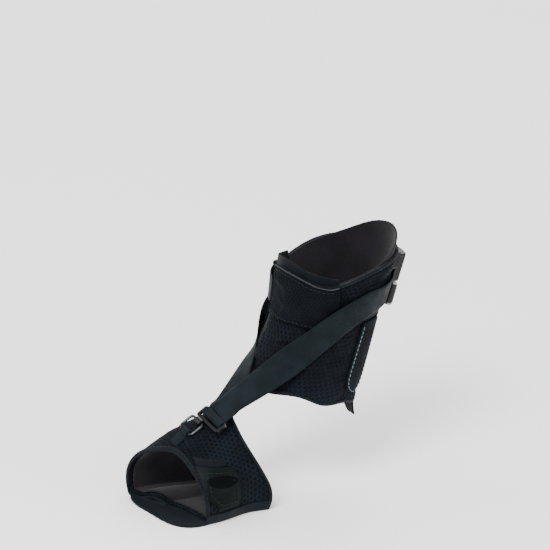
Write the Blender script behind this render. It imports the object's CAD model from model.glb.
import bpy
import numpy as np
from math import cos, pi, radians, sin, sqrt
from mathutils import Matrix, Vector
from mathutils.bvhtree import BVHTree


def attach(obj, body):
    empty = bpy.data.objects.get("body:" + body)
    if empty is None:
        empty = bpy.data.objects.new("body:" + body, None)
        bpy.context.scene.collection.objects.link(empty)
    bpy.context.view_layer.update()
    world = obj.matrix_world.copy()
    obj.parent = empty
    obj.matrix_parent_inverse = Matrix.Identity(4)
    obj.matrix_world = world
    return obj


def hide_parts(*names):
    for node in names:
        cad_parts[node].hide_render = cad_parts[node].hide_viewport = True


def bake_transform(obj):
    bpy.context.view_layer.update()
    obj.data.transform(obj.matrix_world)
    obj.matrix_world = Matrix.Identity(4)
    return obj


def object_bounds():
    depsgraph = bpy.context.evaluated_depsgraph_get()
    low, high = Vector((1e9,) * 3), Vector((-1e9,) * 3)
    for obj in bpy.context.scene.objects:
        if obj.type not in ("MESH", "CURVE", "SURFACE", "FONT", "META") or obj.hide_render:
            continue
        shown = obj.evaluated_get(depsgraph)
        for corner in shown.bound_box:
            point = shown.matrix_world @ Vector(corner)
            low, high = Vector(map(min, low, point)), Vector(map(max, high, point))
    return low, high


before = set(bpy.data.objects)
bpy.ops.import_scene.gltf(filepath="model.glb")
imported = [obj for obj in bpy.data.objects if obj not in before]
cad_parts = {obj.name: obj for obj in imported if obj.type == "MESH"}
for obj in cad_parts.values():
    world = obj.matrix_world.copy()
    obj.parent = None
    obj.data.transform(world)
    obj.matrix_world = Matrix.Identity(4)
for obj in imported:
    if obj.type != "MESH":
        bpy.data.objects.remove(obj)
cad_box = [list(corner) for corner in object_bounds()]
MM = 0.001

# ---- camera and light -----------------------------------------------------------------------
CAMERA_TURN = radians(-30)                # about the vertical, from +X
CAMERA_RISE = radians(22)
CAMERA_AWAY = 9.0                         # far off with a long lens, so the view is nearly parallel
view = Vector((cos(CAMERA_RISE) * cos(CAMERA_TURN), cos(CAMERA_RISE) * sin(CAMERA_TURN), sin(CAMERA_RISE)))
centre = (Vector(cad_box[0]) + Vector(cad_box[1])) / 2
aim = Vector((-0.0425, 0.0006, 0.0919))   # the photo leaves room above, where the leg was
camera = bpy.data.objects.new("camera", bpy.data.cameras.new("camera"))
camera.location = aim + CAMERA_AWAY * view
camera.rotation_euler = view.to_track_quat("Z", "Y").to_euler()
camera.data.sensor_width = 36
camera.data.lens = 688.5
camera.data.clip_end = 100
bpy.context.scene.collection.objects.link(camera)
bpy.context.scene.camera = camera


def area_light(name, place, size, power, colour=(1, 1, 1)):
    light = bpy.data.lights.new(name, "AREA")
    light.shape = "DISK"
    light.size = size
    light.energy = power
    light.color = colour
    lamp = bpy.data.objects.new(name, light)
    lamp.location = Vector(place)
    lamp.rotation_euler = (Vector(place) - centre).to_track_quat("Z", "Y").to_euler()
    bpy.context.scene.collection.objects.link(lamp)


area_light("key", (0.9, -1.2, 1.7), 0.9, 60)
area_light("fill", (1.5, 0.9, 0.9), 1.4, 14)
area_light("back", (-1.3, 0.9, 1.4), 1.2, 20)
area_light("medial", (-1.2, -1.1, 0.8), 1.4, 10)
world = bpy.data.worlds.new("studio")
world.use_nodes = True
world.node_tree.nodes["Background"].inputs["Color"].default_value = (1, 1, 1, 1)
world.node_tree.nodes["Background"].inputs["Strength"].default_value = 1.25
bpy.context.scene.world = world


# ---- materials --------------------------------------------------------------------------------
class Shader:
    """A material's node tree, with short calls for the nodes that the fabrics use."""

    def __init__(self, name, roughness=0.8, metallic=0.0, sheen=0.0, coat=0.0, specular=0.5):
        self.material = bpy.data.materials.new(name)
        self.material.use_nodes = True
        self.tree = self.material.node_tree
        self.shader = self.tree.nodes["Principled BSDF"]
        self.shader.inputs["Roughness"].default_value = roughness
        self.shader.inputs["Metallic"].default_value = metallic
        self.shader.inputs["Sheen Weight"].default_value = sheen
        self.shader.inputs["Sheen Roughness"].default_value = 0.5
        self.shader.inputs["Coat Weight"].default_value = coat
        self.shader.inputs["Coat Roughness"].default_value = 0.12
        self.shader.inputs["Specular IOR Level"].default_value = specular

    def node(self, kind, links=(), **values):
        made = self.tree.nodes.new(kind)
        for key, value in values.items():
            setattr(made, key, value)
        for socket, value in dict(links).items():
            if isinstance(value, bpy.types.NodeSocket):
                self.tree.links.new(value, made.inputs[socket])
            else:
                made.inputs[socket].default_value = value
        return made

    def math(self, operation, a, b=0.0):
        return self.node("ShaderNodeMath", {0: a, 1: b}, operation=operation).outputs[0]

    def vector(self, operation, a, b=(0, 0, 0), output=0):
        return self.node("ShaderNodeVectorMath", {0: a, 1: b}, operation=operation).outputs[output]

    def mix(self, factor, a, b):
        made = self.node("ShaderNodeMix", data_type="RGBA")
        for socket, value in ((0, factor), (6, a), (7, b)):
            if isinstance(value, bpy.types.NodeSocket):
                self.tree.links.new(value, made.inputs[socket])
            else:
                made.inputs[socket].default_value = value
        return made.outputs[2]

    def step(self, value, low, high, at_low=0.0, at_high=1.0):
        sockets = {0: value, 1: low, 2: high, 3: at_low, 4: at_high}
        return self.node("ShaderNodeMapRange", sockets, interpolation_type="SMOOTHSTEP").outputs[0]

    def noise(self, scale, detail=3.0, place=None):
        sockets = {"Scale": scale, "Detail": detail}
        sockets["Vector"] = place or self.node("ShaderNodeTexCoord").outputs["Object"]
        return self.node("ShaderNodeTexNoise", sockets).outputs[0]

    def weave_map(self, pitch, squeeze=1.0):
        """The cloth's own map in cells of the given pitch."""
        uv = self.node("ShaderNodeUVMap", uv_map="weave").outputs[0]
        return self.vector("MULTIPLY", uv, (1 / pitch, squeeze / pitch, 0))

    def hexagons(self, pitch):
        """Distance from the middle of the nearest hexagonal cell: 0 in the middle, 0.5 at its edge."""
        cell = (1.0, sqrt(3), 1.0)
        half = (0.5, sqrt(3) / 2, 0.5)
        far = 400                         # cells away from the map's origin, so MODULO sees no negatives
        place = self.vector("ADD", self.weave_map(pitch), (far, far * sqrt(3), 0.0))
        one = self.vector("SUBTRACT", self.vector("MODULO", place, cell), half)
        two = self.vector("SUBTRACT", self.vector("MODULO", self.vector("ADD", place, half), cell), half)
        lengths = [self.vector("LENGTH", each, output=1) for each in (two, one)]
        nearer = self.math("LESS_THAN", *lengths)
        chosen = self.node("ShaderNodeMix", data_type="VECTOR")
        self.tree.links.new(nearer, chosen.inputs[0])
        self.tree.links.new(one, chosen.inputs[4])
        self.tree.links.new(two, chosen.inputs[5])
        offset = self.vector("MULTIPLY", self.vector("ABSOLUTE", chosen.outputs[1]), (1, 1, 0))
        across = self.vector("DOT_PRODUCT", offset, (1, 0, 0), 1)
        slanted = self.vector("DOT_PRODUCT", offset, (0.5, sqrt(3) / 2, 0), 1)
        return self.math("MAXIMUM", across, slanted)

    def waves(self, pitch, angle=0.0, squeeze=1.0):
        """Rounded ribs across the cloth's map, at an angle in degrees."""
        turn = (cos(radians(angle)), sin(radians(angle)), 0)
        along = self.vector("DOT_PRODUCT", self.weave_map(pitch, squeeze), turn, 1)
        return self.math("ABSOLUTE", self.math("SINE", self.math("MULTIPLY", along, pi)))

    def finish(self, colour, height=None, depth=0.0004, rough=None):
        if isinstance(colour, bpy.types.NodeSocket):
            self.tree.links.new(colour, self.shader.inputs["Base Color"])
        else:
            self.shader.inputs["Base Color"].default_value = colour
        if rough is not None:
            self.tree.links.new(rough, self.shader.inputs["Roughness"])
        if height is not None:
            bump = self.node("ShaderNodeBump", {"Height": height, "Distance": depth, "Strength": 1.0})
            self.tree.links.new(bump.outputs[0], self.shader.inputs["Normal"])
        return self.material


def shade(colour, by):
    return tuple(c * by for c in colour[:3]) + (1.0,)


def honeycomb(name, pitch, colour, hole, open_to=0.30):
    """Air mesh: raised hexagonal net over a darker ground, with a fine knit on the net."""
    made = Shader(name, roughness=0.78, sheen=0.01, specular=0.05)
    distance = made.hexagons(pitch)
    net = made.step(distance, open_to, open_to + 0.11)
    fine = made.math("MULTIPLY", made.waves(0.0007), made.waves(0.0007, 90))
    worn = made.step(made.noise(38), 0.35, 0.75, 0.72, 1.25)
    base = made.mix(net, hole, colour)
    tone = made.mix(made.math("MULTIPLY", fine, 0.35), base, shade(colour, 0.45))
    lint = made.step(made.noise(900, 2), 0.70, 0.80, 0.0, 0.5)
    shaded = made.vector("SCALE", made.mix(lint, tone, shade(colour, 2.2)))
    made.tree.links.new(worn, shaded.node.inputs[3])
    height = made.math("ADD", made.math("MULTIPLY", net, 1.0), made.math("MULTIPLY", fine, 0.10))
    return made.finish(shaded, height, 0.0006, made.step(made.noise(60), 0.3, 0.7, 0.70, 0.90))


def knit(name, colour, pitch=0.0008, depth=0.00012, rough=(0.62, 0.8), sheen=0.01, specular=0.06):
    """Close knit with small interlocking ribs and uneven dye."""
    made = Shader(name, sheen=sheen, specular=specular)
    ribs = made.math("MULTIPLY", made.waves(pitch, 35, 0.8), made.waves(pitch, -35, 0.8))
    patchy = made.step(made.noise(45), 0.3, 0.75, 0.8, 1.3)
    tone = made.vector("SCALE", made.mix(made.math("MULTIPLY", ribs, 0.5), colour, shade(colour, 0.45)))
    made.tree.links.new(patchy, tone.node.inputs[3])
    return made.finish(tone, ribs, depth, made.step(made.noise(70), 0.3, 0.7, *rough))


def webbing(name, colour, pitch=0.0013):
    """Woven elastic: cords along its length crossed by fine weft, with firmer edges."""
    made = Shader(name, sheen=0.01, specular=0.07)
    cords = made.waves(pitch, 0)
    weft = made.waves(0.0010, 90)
    height = made.math("ADD", made.math("MULTIPLY", cords, 0.6), made.math("MULTIPLY", weft, 0.4))
    dusty = made.step(made.noise(50), 0.35, 0.75, 0.8, 1.3)
    tone = made.vector("SCALE", made.mix(height, shade(colour, 0.4), shade(colour, 1.25)))
    made.tree.links.new(dusty, tone.node.inputs[3])
    return made.finish(tone, height, 0.00025, made.step(made.noise(80), 0.3, 0.7, 0.55, 0.75))


def pile(name, colour):
    """Hook-and-loop field: dense short fibres."""
    made = Shader(name, sheen=0.02, specular=0.06)
    tufts = made.node("ShaderNodeTexVoronoi", {"Scale": 1100.0}).outputs[0]
    made.tree.links.new(made.node("ShaderNodeTexCoord").outputs["Object"], tufts.node.inputs["Vector"])
    return made.finish(made.mix(tufts, shade(colour, 1.5), shade(colour, 0.4)), tufts, 0.0004,
                       made.step(made.noise(200), 0.3, 0.7, 0.8, 0.95))


def moulded(name, colour, rough=(0.10, 0.22), grain=0.00002, coat=0.10, specular=0.20):
    """Injection-moulded plastic with faint flow marks and rubbed, duller spots."""
    made = Shader(name, coat=coat, specular=specular)
    flow = made.noise(220, 4)
    rubbed = made.step(made.noise(90, 5), 0.45, 0.72, 0.0, 1.0)
    tone = made.mix(made.math("MULTIPLY", rubbed, 0.35), colour, shade(colour, 1.8))
    return made.finish(tone, flow, grain, made.step(made.noise(130, 4), 0.35, 0.7, *rough))


def bright_metal(name, colour, rough=(0.18, 0.34)):
    """Plated wire: fine drawing marks and slight tarnish."""
    made = Shader(name, metallic=1.0)
    stretched = made.vector("MULTIPLY", made.node("ShaderNodeTexCoord").outputs["Object"], (1.0, 9.0, 9.0))
    marks = made.noise(420, 3, stretched)
    tone = made.mix(made.step(made.noise(160, 3), 0.45, 0.7), colour, shade(colour, 0.55))
    return made.finish(tone, marks, 0.00002, made.step(marks, 0.35, 0.7, *rough))


def thread(name, colour):
    """Twisted sewing thread."""
    made = Shader(name, roughness=0.6, sheen=0.02, specular=0.2)
    twist = made.noise(1800, 2)
    return made.finish(made.mix(twist, shade(colour, 0.6), shade(colour, 1.3)), twist, 0.0001)


M = {
    "mesh": honeycomb("cuff_mesh", 0.0042, (0.0044, 0.0066, 0.0101, 1), (0.0020, 0.0030, 0.0048, 1)),
    "foot_mesh": honeycomb("foot_mesh", 0.0042, (0.0050, 0.0081, 0.0118, 1), (0.0019, 0.0029, 0.0045, 1),
                           0.28),
    "band": honeycomb("band_mesh", 0.0032, (0.0030, 0.0045, 0.0070, 1), (0.0019, 0.0029, 0.0045, 1), 0.26),
    "lining": knit("brushed_lining", (0.0084, 0.0073, 0.0098, 1), 0.0014, 0.0002, (0.85, 0.95), 0.10),
    "tongue": knit("tongue_knit", (0.0034, 0.0048, 0.0068, 1), 0.0011, 0.00018, (0.75, 0.9), 0.04),
    "smooth": knit("smooth_knit", (0.0034, 0.0053, 0.0077, 1), 0.0007, 0.00006, (0.5, 0.62), 0.02),
    "pocket": honeycomb("pocket_mesh", 0.0042, (0.0053, 0.0078, 0.0115, 1), (0.0023, 0.0034, 0.0053, 1)),
    "glossy": knit("coated_knit", (0.0015, 0.0034, 0.0040, 1), 0.0009, 0.00003, (0.38, 0.50), 0.0, 0.06),
    "sole": knit("sole_knit", (0.0042, 0.0064, 0.0087, 1), 0.0010, 0.00008, (0.5, 0.68), 0.02),
    "binding": webbing("folded_tape", (0.0036, 0.0054, 0.0078, 1), 0.0009),
    "strap": webbing("woven_elastic", (0.0036, 0.0070, 0.0090, 1), 0.0016),
    "elastic": webbing("ribbed_elastic", (0.0040, 0.0064, 0.0090, 1), 0.0018),
    "pile": pile("hook_and_loop", (0.0034, 0.0044, 0.0056, 1)),
    "gloss": moulded("gloss_black", (0.0040, 0.0044, 0.0050, 1)),
    "satin": moulded("satin_black", (0.0050, 0.0056, 0.0064, 1), (0.28, 0.42), 0.00004, 0.05),
    "recess": moulded("dark_recess", (0.0012, 0.0017, 0.0021, 1), (0.6, 0.75), 0.00005, 0.0, 0.03),
    "stay": moulded("stay_plastic", (0.42, 0.43, 0.44, 1), (0.35, 0.5), 0.00004, 0.0),
    "metal": bright_metal("plated_wire", (0.24, 0.25, 0.27, 1)),
    "dark_metal": bright_metal("dark_wire", (0.050, 0.055, 0.062, 1)),
    "teal_thread": thread("teal_thread", (0.085, 0.150, 0.165, 1)),
    "dark_thread": thread("dark_thread", (0.0050, 0.0075, 0.0098, 1)),
    "grey_piping": knit("grey_piping", (0.028, 0.032, 0.037, 1), 0.0009, 0.0001, (0.6, 0.75), 0.02),
}

# ---- the cuff's and the forefoot's own coordinates -----------------------------------------------
CUFF = np.array([                         # height, rear edge, front edge and half width, in mm
    (-36.0, 53.5, -65.0, 37.0),
    (0.0, 51.0, -55.0, 40.6),
    (32.0, 61.5, -34.0, 41.0),
    (64.0, 70.5, -24.0, 42.0),
    (96.0, 81.0, -20.5, 45.0),
    (140.0, 93.5, -14.0, 47.0),
]) * MM
SEAM = -23.0                              # the cuff's front opening, degrees from the front
CUFF_ROUND = 2 * pi * 0.0465
FOOT_AXIS = Vector((-0.004, 0, -0.052))
FOOT_ROUND = 2 * pi * 0.040


def cuff_size(z):
    """Centre Y, half depth and half width of the cuff at height z; z may be an array."""
    rear, front, half = (np.interp(z, CUFF[:, 0], CUFF[:, i]) for i in (1, 2, 3))
    return (rear + front) / 2, (rear - front) / 2, half


def around_cuff(angle):
    """Level unit vectors at angles from the cuff's front to its lateral side, in degrees."""
    return np.column_stack((np.sin(np.radians(angle)), -np.cos(np.radians(angle)), np.zeros(len(angle))))


def around_foot(angle):
    """Unit vectors at angles from the forefoot's top to its lateral side, in degrees."""
    return np.column_stack((np.sin(np.radians(angle)), np.zeros(len(angle)), np.cos(np.radians(angle))))


def cuff_point(angle, z, off=0.0):
    """A point off the cuff's fabric; the angle runs from the front to the lateral side."""
    middle, depth, half = cuff_size(z)
    return Vector(((half + off) * sin(radians(angle)), middle - (depth + off) * cos(radians(angle)), z))


def cuff_angle(co):
    middle, depth, half = cuff_size(co[:, 2])
    return np.degrees(np.arctan2(co[:, 0] / half, (middle - co[:, 1]) / depth))


def cuff_map(co):
    return np.mod(cuff_angle(co) - SEAM, 360) / 360 * CUFF_ROUND, co[:, 2] + 0.1


def foot_angle(co):
    """Degrees about the forefoot's length, from its top to the lateral side."""
    return np.degrees(np.arctan2(co[:, 0] - FOOT_AXIS.x, co[:, 2] - FOOT_AXIS.z))


def foot_map(co):
    return (foot_angle(co) + 180) / 360 * FOOT_ROUND, co[:, 1] + 0.3


def points(mesh):
    co = np.empty(len(mesh.vertices) * 3)
    mesh.vertices.foreach_get("co", co)
    return co.reshape(-1, 3)


def normals(mesh):
    co = np.empty(len(mesh.vertices) * 3)
    mesh.vertices.foreach_get("normal", co)
    return co.reshape(-1, 3)


def move(mesh, co):
    mesh.vertices.foreach_set("co", np.ascontiguousarray(co, dtype=np.float32).ravel())
    mesh.update()


def lay_map(mesh, way, period):
    """Writes the cloth's map; a face that crosses the map's seam keeps its corners together."""
    u, v = way(points(mesh))
    corner = np.empty(len(mesh.loops), np.int32)
    start = np.empty(len(mesh.polygons), np.int32)
    count = np.empty(len(mesh.polygons), np.int32)
    mesh.loops.foreach_get("vertex_index", corner)
    mesh.polygons.foreach_get("loop_start", start)
    mesh.polygons.foreach_get("loop_total", count)
    across = u[corner]
    highest = np.repeat(np.maximum.reduceat(across, start), count)
    across = np.where(highest - across > period / 2, across + period, across)
    layer = mesh.uv_layers.new(name="weave")
    layer.data.foreach_set("uv", np.column_stack((across, v[corner])).astype(np.float32).ravel())


def add_piece(name, mesh, material, body):
    piece = bpy.data.objects.new(name, mesh)
    bpy.context.scene.collection.objects.link(piece)
    mesh.materials.clear()
    mesh.materials.append(material)
    mesh.polygons.foreach_set("use_smooth", [True] * len(mesh.polygons))
    if body:
        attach(piece, body)
    return piece


def evened(node, size, rounds=2, closing=0.0):
    """The CAD solid's surface as an even net of small faces; slits narrower than twice closing go."""
    scratch = bpy.data.objects.new("scratch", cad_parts[node].data.copy())
    bpy.context.scene.collection.objects.link(scratch)
    for grow in (0, closing, -closing) if closing else (0,):
        if grow:
            swell = scratch.modifiers.new("swell", "DISPLACE")
            swell.strength = grow * MM
            swell.mid_level = 0
        if grow >= 0:
            remesh = scratch.modifiers.new("even", "REMESH")
            remesh.mode = "VOXEL"
            remesh.voxel_size = size * MM
    soften = scratch.modifiers.new("soften", "SMOOTH")
    soften.iterations = rounds
    soften.factor = 0.5
    graph = bpy.context.evaluated_depsgraph_get()
    mesh = bpy.data.meshes.new_from_object(scratch.evaluated_get(graph))
    bpy.data.objects.remove(scratch)
    return mesh


# ---- padding: a cloth simulation of the outer fabric, held where it is sewn or covered ------------
CLOTH_STEPS = 20
SINK = 0.4                                # the most that fabric may sink, as a share of its highest lift


def swelling(name, place, low, high, rows, columns, held, cap, pressure, slack):
    """How far the padding lifts the fabric, on a grid from low to high in the piece's own coordinates.

    The simulated sheet buckles further than quilted padding lets real fabric go, so its lift is cut off
    at the cap and at the sink.
    """
    first = np.linspace(low[0], high[0], rows)
    second = np.linspace(low[1], high[1], columns)
    rest = [place(a, b) for a in first for b in second]
    faces = []
    for i in range(rows - 1):
        for j in range(columns - 1):
            corner = i * columns + j
            faces.append((corner, corner + columns, corner + columns + 1, corner + 1))
    mesh = bpy.data.meshes.new(name)
    mesh.from_pydata(rest, [], faces)
    sheet = bpy.data.objects.new(name, mesh)
    bpy.context.scene.collection.objects.link(sheet)
    group = sheet.vertex_groups.new(name="held")
    for i, a in enumerate(first):
        for j, b in enumerate(second):
            edge = i in (0, rows - 1) or j in (0, columns - 1)
            if edge or held(a, b):
                group.add([i * columns + j], 1.0, "REPLACE")
    cloth = sheet.modifiers.new("cloth", "CLOTH")
    cloth.settings.quality = 6
    cloth.settings.mass = 0.2
    cloth.settings.tension_stiffness = 20
    cloth.settings.compression_stiffness = 20
    cloth.settings.shear_stiffness = 8
    cloth.settings.bending_stiffness = 0.4
    cloth.settings.use_pressure = True
    cloth.settings.uniform_pressure_force = pressure
    cloth.settings.shrink_min = -slack
    cloth.settings.vertex_group_mass = "held"
    cloth.settings.effector_weights.gravity = 0
    before = np.array([tuple(p) for p in rest])
    outward = normals(mesh)
    scene = bpy.context.scene
    for step in range(1, CLOTH_STEPS + 1):
        scene.frame_set(step)
    after = points(sheet.evaluated_get(bpy.context.evaluated_depsgraph_get()).data)
    lift = ((after - before) * outward).sum(1)
    scene.frame_set(1)
    bpy.data.objects.remove(sheet)
    return first, second, np.clip(lift, -SINK * cap, cap).reshape(rows, columns)


def lifted(field, a, b):
    """The simulated lift at points of the piece's own coordinates."""
    first, second, lift = field
    i = np.clip(np.interp(a, first, np.arange(len(first))), 0, len(first) - 1.001)
    j = np.clip(np.interp(b, second, np.arange(len(second))), 0, len(second) - 1.001)
    i0, j0 = i.astype(int), j.astype(int)
    s, t = i - i0, j - j0
    low = lift[i0, j0] * (1 - t) + lift[i0, j0 + 1] * t
    high = lift[i0 + 1, j0] * (1 - t) + lift[i0 + 1, j0 + 1] * t
    return low * (1 - s) + high * s


def raised(mesh, outward, lift):
    """Moves for the outer face only; a side or inner face keeps its place."""
    facing = np.clip((normals(mesh) * outward).sum(1) * 2, 0, 1)
    return outward * (lift * facing)[:, None]


# Each crease: its angle, its height or length along the foot, slope, reach in degrees, width and depth in mm.
CREASES = {
    "cuff_shell": [
        (18, 57, 0.10, 34, 2.6, 1.3), (30, 49, -0.16, 26, 2.2, 1.1), (8, 41, 0.14, 24, 2.4, 1.0),
        (52, 38, -0.10, 18, 2.2, 0.9), (100, 58, 0.12, 12, 2.0, 0.7), (35, 22, 0.08, 22, 3.0, 0.9),
    ],
    "foot_wrap": [
        (6, -112, 0.22, 16, 1.8, 0.8), (26, -100, 0.30, 15, 2.2, 0.9), (44, -92, -0.25, 13, 2.0, 0.7),
        (-22, -118, -0.25, 18, 2.2, 0.8), (-40, -100, -0.20, 18, 2.4, 0.8),
    ],
    "front_band": [
        (20, 76, 0.10, 30, 2.6, 1.2), (42, 84, -0.14, 20, 2.2, 0.8), (6, 92, 0.12, 16, 2.4, 0.7),
    ],
}


def creased(node, angle, z):
    """Soft folds where the fabric bends, in metres: a ridge with a shallower groove below it."""
    total = np.zeros(len(z))
    for at, height, slope, reach, width, tall in CREASES[node]:
        off = (z / MM - height - slope * (angle - at)) / width
        fade = np.exp(-((angle - at) / reach) ** 2)
        total += tall * fade * (np.exp(-off ** 2) - 0.7 * np.exp(-(off + 1.6) ** 2))
    return total * MM


LEAN = 8.4 * MM                           # how far the cuff's front leans out over the instep
LEAN_ANGLE, LEAN_SPREAD = -24, 34         # where it leans most and how widely, in degrees
LEAN_HEIGHT, LEAN_REACH = 41, 26          # the same up the cuff, in mm


def rolled(co):
    """How far every cuff layer leans out together where the instep rises, in metres."""
    angle = (cuff_angle(co) + 180) % 360 - 180
    beside = (angle - LEAN_ANGLE) / LEAN_SPREAD
    above = (co[:, 2] / MM - LEAN_HEIGHT) / LEAN_REACH
    return around_cuff(angle) * (LEAN * np.exp(-beside ** 2 - above ** 2))[:, None]


def in_outline(outline, y, z):
    """Whether a point of the side view lies in a closed outline."""
    inside = False
    for (y0, z0), (y1, z1) in zip(outline, outline[1:] + outline[:1]):
        if (z0 > z) != (z1 > z) and y < y0 + (y1 - y0) * (z - z0) / (z1 - z0):
            inside = not inside
    return inside


POCKET = [(37, 71), (63, 71), (53, 35), (46, 6), (34, 0.5), (22, 8), (21.5, 21), (26.5, 35)]


def cuff_held(angle, z):
    """Whether the stay pockets, the spine, the rear guide or the front band hold the fabric down."""
    angle = (angle + 180) % 360 - 180
    spot = cuff_point(angle, z)
    if in_outline(POCKET, spot.y / MM, z / MM):
        return True
    if abs(abs(angle) - 180) < 12 or (abs(angle) > 110 and 0.069 < z < 0.104):
        return True
    return -55 < angle < 84 and z > 0.064


def band_point(angle, z):
    return cuff_point(angle, z, 2.6 * MM)


cuff_field = swelling(
    "cuff_swelling", cuff_point, (SEAM + 12, -0.012), (SEAM + 348, 0.118), 110, 44,
    held=cuff_held, cap=1.6 * MM, pressure=3.0, slack=0.03,
)
band_field = swelling(
    "band_swelling", band_point, (-10, 0.066), (80, 0.112), 44, 22,
    held=lambda angle, z: False, cap=1.2 * MM, pressure=4.0, slack=0.04,
)

# ---- soft pieces made from their CAD solids ---------------------------------------------------------
BINDING_SWELL = 0.3 * MM                  # how much fuller the edge tape is than its CAD solid
BINDING_RAISED = 0.6 * MM                 # how far the lower edge tape overlaps the cuff
SOLE_EDGE = cad_box[0][2] + 11.8 * MM     # below it the forefoot's edge tape tucks into the sole band
SOLE_TUCK = 1.0 * MM
SLIT = 1.0                                # half the widest slit that the sole's fabric closes, in mm

# Each piece: node, body, net size in mm, material, slot, cloth map, the map's round length and padding.
SOFT = [
    ("cuff_shell", "cuff", 0.80, "mesh", "mesh_fabric", cuff_map, CUFF_ROUND, 0.55),
    ("front_band", "cuff", 0.55, "band", "mesh_fabric", cuff_map, CUFF_ROUND, 0.5),
    ("cuff_liner", "cuff", 0.60, "lining", "lining", cuff_map, CUFF_ROUND, 0.5),
    ("front_tongue", "cuff", 0.60, "tongue", "lining", cuff_map, CUFF_ROUND, 0.5),
    ("top_binding", "cuff", 0.55, "binding", "binding", cuff_map, CUFF_ROUND, None),
    ("bottom_binding", "cuff", 0.55, "binding", "binding", cuff_map, CUFF_ROUND, None),
    ("cuff_tab", "cuff_closure", 0.40, "smooth", "smooth_fabric", cuff_map, CUFF_ROUND, None),
    ("cuff_tab_hooks", "cuff_closure", 0.16, "pile", "hook_and_loop", cuff_map, CUFF_ROUND, None),
    ("cuff_loop_patch", "cuff", 0.25, "pile", "hook_and_loop", cuff_map, CUFF_ROUND, None),
    ("lateral_stay_pocket", "cuff", 0.45, "pocket", "smooth_fabric", cuff_map, CUFF_ROUND, None),
    ("medial_stay_pocket", "cuff", 0.45, "pocket", "smooth_fabric", cuff_map, CUFF_ROUND, None),
    ("rear_spine", "cuff", 0.60, "tongue", "smooth_fabric", cuff_map, CUFF_ROUND, None),
    ("rear_band", "cuff", 0.40, "strap", "webbing", cuff_map, CUFF_ROUND, None),
    ("foot_wrap", "forefoot", 0.80, "foot_mesh", "mesh_fabric", foot_map, FOOT_ROUND, 0.5),
    ("foot_liner", "forefoot", 0.60, "lining", "lining", foot_map, FOOT_ROUND, 0.5),
    ("toe_binding", "forefoot", 0.55, "binding", "binding", foot_map, FOOT_ROUND, None),
    ("instep_binding", "forefoot", 0.55, "binding", "binding", foot_map, FOOT_ROUND, None),
    ("sole_band", "forefoot", 0.60, "sole", "smooth_fabric", foot_map, FOOT_ROUND, None),
    ("foot_loop_patch", "forefoot", 0.30, "pile", "hook_and_loop", foot_map, FOOT_ROUND, None),
    ("foot_tab_hooks", "foot_closure", 0.20, "pile", "hook_and_loop", foot_map, FOOT_ROUND, None),
    ("foot_tab", "foot_closure", 0.40, "glossy", "smooth_fabric", foot_map, FOOT_ROUND, None),
    ("foot_tab_anchor", "forefoot", 0.40, "smooth", "smooth_fabric", foot_map, FOOT_ROUND, None),
    ("elastic_panel", "forefoot", 0.30, "elastic", "webbing", foot_map, FOOT_ROUND, None),
    ("ring_keeper", "forefoot", 0.35, "strap", "webbing", foot_map, FOOT_ROUND, None),
    ("strap_fold", "forefoot", 0.35, "strap", "webbing", foot_map, FOOT_ROUND, None),
]
piece = {}
for node, body, size, material, slot, way, period, fill in SOFT:
    mesh = evened(node, size, closing=SLIT if node == "sole_band" else 0.0)
    co = points(mesh)
    if node == "cuff_shell":
        angle = np.mod(cuff_angle(co) - SEAM, 360) + SEAM
        lift = lifted(cuff_field, angle, co[:, 2]) + creased(node, angle, co[:, 2])
        co += raised(mesh, around_cuff(angle), lift)
    if node == "front_band":
        angle = cuff_angle(co)
        lift = lifted(band_field, angle, co[:, 2]) + creased(node, angle, co[:, 2])
        co += raised(mesh, around_cuff(angle), lift)
    if node == "foot_wrap":
        angle = foot_angle(co)
        co += raised(mesh, around_foot(angle), creased(node, angle, co[:, 1]))
    if node.endswith("binding"):
        co += normals(mesh) * BINDING_SWELL
    if node in ("toe_binding", "instep_binding"):
        co[co[:, 2] < SOLE_EDGE, 2] -= SOLE_TUCK
    if node == "bottom_binding":
        co[:, 2] += BINDING_RAISED
    if way is cuff_map:
        co += rolled(co)
    move(mesh, co)
    lay_map(mesh, way, period)
    piece[node] = add_piece(node + "_fabric", mesh, M[material], body)
    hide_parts(node)

# ---- straps -------------------------------------------------------------------------------------------
HOOK_AT = Vector((0.0061, -0.0883, -0.0052))
HOOK_Z = Vector((0.27, -0.52, 0.81)).normalized()           # off the instep
HOOK_ALONG = Vector((0.95, 0.12, -0.29))                    # roughly along the bar that holds the straps
HOOK_X = (HOOK_ALONG - HOOK_ALONG.dot(HOOK_Z) * HOOK_Z).normalized()
HOOK_Y = HOOK_Z.cross(HOOK_X)


def on_hook(x, y, z):
    """A point of the hook's own plane, given in millimetres."""
    return HOOK_AT + (x * HOOK_X + y * HOOK_Y + z * HOOK_Z) * MM


SIDES = (("lateral", 1), ("medial", -1))
STRAP_WIDTH, STRAP_THICK = 25 * MM, 1.4 * MM
# The way of each strap in mm: in the hook's plane, then over the instep as a place and the way it faces,
# then round the cuff as an angle in degrees, a height and a distance off the fabric.
STRAP_START = {
    "lateral": [(0.3, 5.7, 1.3), (1.4, 15, 1.9)],
    "medial": [(0.45, 5.7, -1.15), (-5.2, 15, -1.5)],
}
STRAP_LOW = {
    "lateral": [((10.9, -67.4, 10.6), (0.26, -0.56, 0.79)), ((22.5, -38.2, 32.4), (0.6, -0.62, 0.5))],
    "medial": [((-5.4, -64.4, 6.9), (0.12, -0.60, 0.79)), ((-21.0, -38.0, 30.5), (-0.3, -0.8, 0.5))],
}
STRAP_RISE = [(52, 56.5, 5.0), (64, 66.8, 4.9), (76, 76.0, 4.7), (90, 83.5, 4.2), (105, 87.5, 3.6)]
STRAP_RISE += [(angle, 88.5, 3.6) for angle in (120, 135, 150, 165, 178.8)]


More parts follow.
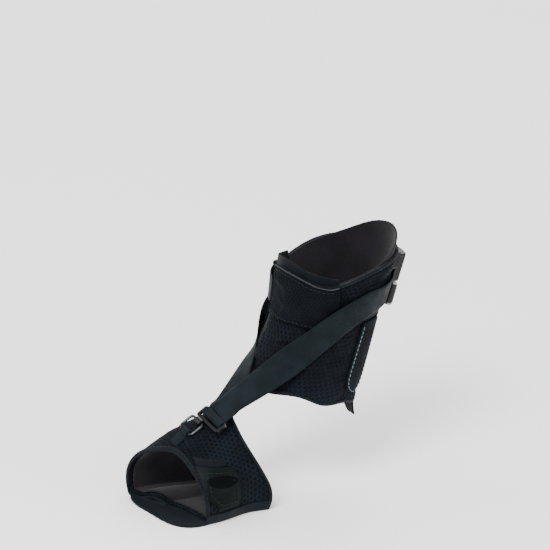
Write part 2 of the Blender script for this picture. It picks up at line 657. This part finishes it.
def strap_stations(name, hand):
    made = [(on_hook(*end), HOOK_Z) for end in STRAP_START[name]]
    made += [(Vector(spot) * MM, Vector(out).normalized()) for spot, out in STRAP_LOW[name]]
    for angle, z, off in STRAP_RISE:
        spot = cuff_point(angle, z * MM, off * MM)
        _, depth, half = cuff_size(z * MM)
        slope = (-0.004 if angle < 115 else -0.0062) / MM
        out = Vector((hand * sin(radians(angle)) / half, -cos(radians(angle)) / depth, slope)).normalized()
        made.append((Vector((hand * spot.x, spot.y, spot.z)), out))
    return made


def smooth_line(values, steps):
    """Points of a smooth curve through the values, the given number of steps between each pair."""
    made = []
    for i in range(len(values) - 1):
        before = values[max(i - 1, 0)]
        here, there = values[i], values[i + 1]
        after = values[min(i + 2, len(values) - 1)]
        for k in range(steps):
            t = k / steps
            made.append(0.5 * (2 * here + (there - before) * t
                               + (2 * before - 5 * here + 4 * there - after) * t * t
                               + (3 * here - before - 3 * there + after) * t * t * t))
    return made + [values[-1]]


def ribbon(name, stations, width, thick, material, body, steps=14, across=18):
    """A flat woven strap with rounded selvedges, its map running along it."""
    line = smooth_line([s[0] for s in stations], steps)
    faces_out = [n.normalized() for n in smooth_line([s[1] for s in stations], steps)]
    half, deep = width / 2, thick / 2
    profile = []
    for k in range(across + 1):
        x = -half + width * k / across
        profile.append((x, deep * (1 - abs(x / half) ** 12) ** 0.5))
    profile += [(x, -y) for x, y in reversed(profile[1:-1])]
    count = len(profile)
    verts, uvs, faces = [], [], []
    travelled = 0.0
    for i, (spot, out) in enumerate(zip(line, faces_out)):
        along = (line[min(i + 1, len(line) - 1)] - line[max(i - 1, 0)]).normalized()
        side = out.cross(along).normalized()
        up = along.cross(side).normalized()
        travelled += (spot - line[i - 1]).length if i else 0
        for x, y in profile:
            verts.append(spot + side * x + up * y)
            uvs.append((x + 0.2, travelled + 0.1))
    for i in range(len(line) - 1):
        for k in range(count):
            a, b = i * count + k, i * count + (k + 1) % count
            faces.append((a, a + count, b + count, b))
    faces.append(tuple(range(count)))
    faces.append(tuple(reversed(range((len(line) - 1) * count, len(line) * count))))
    mesh = bpy.data.meshes.new(name)
    mesh.from_pydata(verts, [], faces)
    layer = mesh.uv_layers.new(name="weave")
    for loop in mesh.loops:
        layer.data[loop.index].uv = uvs[loop.vertex_index]
    return add_piece(name, mesh, material, body)


strap = {}
for name, hand in SIDES:
    strap[name] = ribbon(f"{name}_elastic_strap", strap_stations(name, hand), STRAP_WIDTH, STRAP_THICK,
                         M["strap"], None)
    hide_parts(f"{name}_strap")

# ---- seams, piping and grips -------------------------------------------------------------------------
TREE = {}                                 # each piece's faces, sorted for ray casts


def surface(name, start, direction):
    """Where a ray meets a piece, with the outward normal there."""
    if name not in TREE:
        mesh = piece[name].data
        corners = [v.co for v in mesh.vertices]
        TREE[name] = BVHTree.FromPolygons(corners, [p.vertices for p in mesh.polygons])
    spot, out, _, _ = TREE[name].ray_cast(start, direction)
    return (spot, out) if spot is not None else None


def on_cuff(name, angle, z):
    far = cuff_point(angle, z, 0.05)
    return surface(name, far, (cuff_point(angle, z) - far).normalized())


def on_side(name, y, z, hand):
    return surface(name, Vector((hand * 0.12, y, z)), Vector((-hand, 0, 0)))


def on_foot(name, angle, y):
    far = FOOT_AXIS + Vector((0.12 * sin(radians(angle)), y, 0.12 * cos(radians(angle))))
    return surface(name, far, (FOOT_AXIS + Vector((0, y, 0)) - far).normalized())


def resampled(line, spacing):
    """The line's points and normals at equal distances along it."""
    spots = np.array([tuple(p) for p, _ in line])
    outs = np.array([tuple(n) for _, n in line])
    lengths = np.concatenate(([0], np.cumsum(np.linalg.norm(np.diff(spots, axis=0), axis=1))))
    wanted = np.arange(0, lengths[-1], spacing)
    at = np.column_stack([np.interp(wanted, lengths, spots[:, i]) for i in range(3)])
    out = np.column_stack([np.interp(wanted, lengths, outs[:, i]) for i in range(3)])
    return [(Vector(p), Vector(n).normalized()) for p, n in zip(at, out)]


def sew(name, lines, material, body, stitch=0.0028, gap=0.0011, radius=0.00032):
    """Rows of separate raised stitches, each sinking into the fabric at both ends."""
    verts, faces = [], []
    for line in lines:
        line = [hit for hit in line if hit is not None]
        if len(line) < 2:
            continue
        ends = resampled(line, (stitch + gap) / 4)
        for first in range(0, len(ends) - 4, 4):
            run = ends[first:first + 4]
            base = len(verts)
            for k, (spot, out) in enumerate(run):
                along = (run[min(k + 1, 3)][0] - run[max(k - 1, 0)][0]).normalized()
                side = out.cross(along).normalized()
                lift = (-0.2, 0.75, 0.75, -0.2)[k] * radius
                size = (0.6, 1.0, 1.0, 0.6)[k] * radius
                for turn in range(6):
                    angle = pi * turn / 3
                    verts.append(spot + out * (lift + size * sin(angle)) + side * size * cos(angle))
            for k in range(3):
                for turn in range(6):
                    a, b = base + 6 * k + turn, base + 6 * k + (turn + 1) % 6
                    faces.append((a, b, b + 6, a + 6))
            faces.append(tuple(base + t for t in reversed(range(6))))
            faces.append(tuple(base + 18 + t for t in range(6)))
    if not faces:
        return None
    mesh = bpy.data.meshes.new(name)
    mesh.from_pydata(verts, [], faces)
    return add_piece(name, mesh, material, body)


def tube(name, line, radius, material, body, sides=10):
    """A round cord sewn along an edge."""
    line = resampled([hit for hit in line if hit is not None], radius * 1.5)
    verts, faces, uvs = [], [], []
    for i, (spot, out) in enumerate(line):
        along = (line[min(i + 1, len(line) - 1)][0] - line[max(i - 1, 0)][0]).normalized()
        side = out.cross(along).normalized()
        for turn in range(sides):
            angle = 2 * pi * turn / sides
            verts.append(spot + radius * (out * sin(angle) + side * cos(angle)))
            uvs.append((0.1 + radius * angle, 0.1 + i * radius * 1.5))
    for i in range(len(line) - 1):
        for turn in range(sides):
            a, b = i * sides + turn, i * sides + (turn + 1) % sides
            faces.append((a, b, b + sides, a + sides))
    faces.append(tuple(reversed(range(sides))))
    faces.append(tuple(range((len(line) - 1) * sides, len(line) * sides)))
    mesh = bpy.data.meshes.new(name)
    mesh.from_pydata(verts, [], faces)
    layer = mesh.uv_layers.new(name="weave")
    for loop in mesh.loops:
        layer.data[loop.index].uv = uvs[loop.vertex_index]
    return add_piece(name, mesh, material, body)


def edge_heights(name, angles, top=True):
    """Height of a cuff piece's upper or lower edge at each angle."""
    co = points(piece[name].data)
    at = cuff_angle(co)
    heights = []
    for angle in angles:
        near = np.abs((at - angle + 180) % 360 - 180) < 1.2
        if not near.any():
            heights.append(None)
            continue
        heights.append(co[near, 2].max() if top else co[near, 2].min())
    return heights


def cuff_row(name, angles, top, inset):
    """A row along a cuff piece's upper or lower edge, the inset away from it."""
    inward = -inset if top else inset
    heights = edge_heights(name, angles, top)
    return [on_cuff(name, a, z + inward) for a, z in zip(angles, heights) if z is not None]


round_cuff = [SEAM + 13 + 2.0 * i for i in range(168)]
band_run = [-9 + 1.5 * i for i in range(60)]
sew("binding_stitches", [cuff_row("top_binding", round_cuff, True, 0.0020),
                         cuff_row("bottom_binding", round_cuff, False, 0.0020)],
    M["dark_thread"], "cuff")
sew("band_stitches", [cuff_row("front_band", band_run, False, 0.0022),
                      cuff_row("front_band", band_run, True, 0.0042)],
    M["dark_thread"], "cuff")
piping = filter(None, cuff_row("front_band", band_run, True, 0.0008))
tube("band_piping", [(spot + out * 0.0002, out) for spot, out in piping], 0.0006,
     M["grey_piping"], "cuff")

POCKET_SEAM = [
    (58, 67), (53.5, 50), (49, 35), (45.8, 21), (42.5, 9.5), (38, 5.8), (33, 5), (27.6, 9.5),
    (25.6, 15), (25.9, 21), (30.2, 35), (35.6, 51), (40.8, 67),
]
seam_line = smooth_line([Vector((y, z, 0)) for y, z in POCKET_SEAM], 8)
for name, hand in SIDES:
    node = f"{name}_stay_pocket"
    sew(f"{name}_pocket_stitches", [[on_side(node, p.x * MM, p.y * MM, hand) for p in seam_line]],
        M["teal_thread"], "cuff", radius=0.00042)


def lateral_line(name, outline, steps=8):
    """Places on a piece's lateral face along an outline of the side view, in mm."""
    made = []
    for (y0, z0), (y1, z1) in zip(outline, outline[1:]):
        made += [(y0 + (y1 - y0) * k / steps, z0 + (z1 - z0) * k / steps) for k in range(steps)]
    return [on_side(name, y * MM, z * MM, 1) for y, z in made + outline[-1:]]


TAB_SEAM = [(-111.5, -40.5), (-92.5, -41.6), (-86, -52.8), (-86.4, -66.8), (-104, -66.2), (-112.8, -57)]
ANCHOR_SEAM = [(-113.5, -32.6), (-93.2, -33.6)]
ELASTIC_SEAM = [(-104.6, -67.2), (-85.4, -67.2), (-85.4, -71.4), (-104.6, -71.4)]
sew("foot_tab_stitches", [lateral_line("foot_tab", TAB_SEAM + TAB_SEAM[:1])],
    M["dark_thread"], "foot_closure", radius=0.00028)
sew("anchor_stitches", [lateral_line("foot_tab_anchor", ANCHOR_SEAM)],
    M["dark_thread"], "forefoot")
sew("elastic_stitches", [lateral_line("elastic_panel", ELASTIC_SEAM + ELASTIC_SEAM[:1])],
    M["dark_thread"], "forefoot", radius=0.00026)


def foot_row(name, angles, front, inset):
    """A row along a forefoot piece's front or rear edge, the inset away from it."""
    co = points(piece[name].data)
    at = foot_angle(co)
    row = []
    for angle in angles:
        near = np.abs(at - angle) < 1.5
        if near.any():
            edge = co[near, 1].min() if front else co[near, 1].max()
            row.append(on_foot(name, angle, edge + inset if front else edge - inset))
    return row


over_foot = [-118 + 2.0 * i for i in range(119)]
sew("foot_binding_stitches", [foot_row("toe_binding", over_foot, True, 0.0020),
                              foot_row("instep_binding", over_foot, False, 0.0020)],
    M["dark_thread"], "forefoot")

# ---- dark oval grip pressed into the forefoot tab --------------------------------------------------------
RINGS, SPOKES = 7, 40
GRIP_Y, GRIP_Z = -99.0 * MM, -47.8 * MM
GRIP_LONG, GRIP_TALL, GRIP_DROP = 15.0 * MM, 4.9 * MM, 1.2 * MM
GRIP_RIM, GRIP_FACE, GRIP_EDGE = 0.6 * MM, 0.1 * MM, -0.3 * MM
hit = on_side("foot_tab", GRIP_Y, GRIP_Z, 1)
verts, faces = [], []
for ring in range(RINGS + 1):
    share = ring / RINGS
    lift = GRIP_RIM if 0.80 < share < 0.95 else GRIP_FACE
    for spoke in range(SPOKES):
        angle = 2 * pi * spoke / SPOKES
        y = GRIP_Y + GRIP_LONG * share * cos(angle)
        z = GRIP_Z + GRIP_TALL * share * sin(angle) - GRIP_DROP * share * cos(angle)
        hit = on_side("foot_tab", y, z, 1) or hit
        spot, out = hit
        verts.append(spot + out * (lift if share < 1 else GRIP_EDGE))
for ring in range(RINGS):
    for spoke in range(SPOKES):
        a, b = ring * SPOKES + spoke, ring * SPOKES + (spoke + 1) % SPOKES
        faces.append((a, a + SPOKES, b + SPOKES, b))
grip = bpy.data.meshes.new("foot_tab_grip")
grip.from_pydata(verts, [], faces)
add_piece("foot_tab_grip", grip, M["recess"], "foot_closure")

# ---- straps follow the ankle ---------------------------------------------------------------------------
for name, _ in SIDES:
    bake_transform(strap[name])

# ---- materials of the hard CAD parts ----------------------------------------------------------------
HARD = {
    "yoke_base": "satin", "yoke_housing": "gloss", "clamp_lever": "gloss", "lateral_roller": "satin",
    "medial_roller": "satin", "snap_hook": "gloss", "lateral_stay": "stay", "medial_stay": "stay",
    "lateral_roller_pin": "metal", "medial_roller_pin": "metal", "lateral_collar": "metal",
    "medial_collar": "metal", "lever_pin": "metal", "instep_ring": "dark_metal",
}
for node, material in HARD.items():
    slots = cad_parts[node].material_slots
    if not slots:
        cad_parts[node].data.materials.append(M[material])
    for each in slots:
        each.material = M[material]

# ---- floor --------------------------------------------------------------------------------------------
FLOOR_HALF = 6
low = cad_box[0][2] - 0.2 * MM
floor_corners = [(x * FLOOR_HALF, y * FLOOR_HALF, low) for x, y in ((-1, -1), (1, -1), (1, 1), (-1, 1))]
floor_mesh = bpy.data.meshes.new("floor")
floor_mesh.from_pydata(floor_corners, [], [(0, 1, 2, 3)])
paper = Shader("pale_floor", roughness=0.9)
floor_mesh.materials.append(paper.finish((0.97, 0.97, 0.97, 1)))
floor = bpy.data.objects.new("floor", floor_mesh)
bpy.context.scene.collection.objects.link(floor)
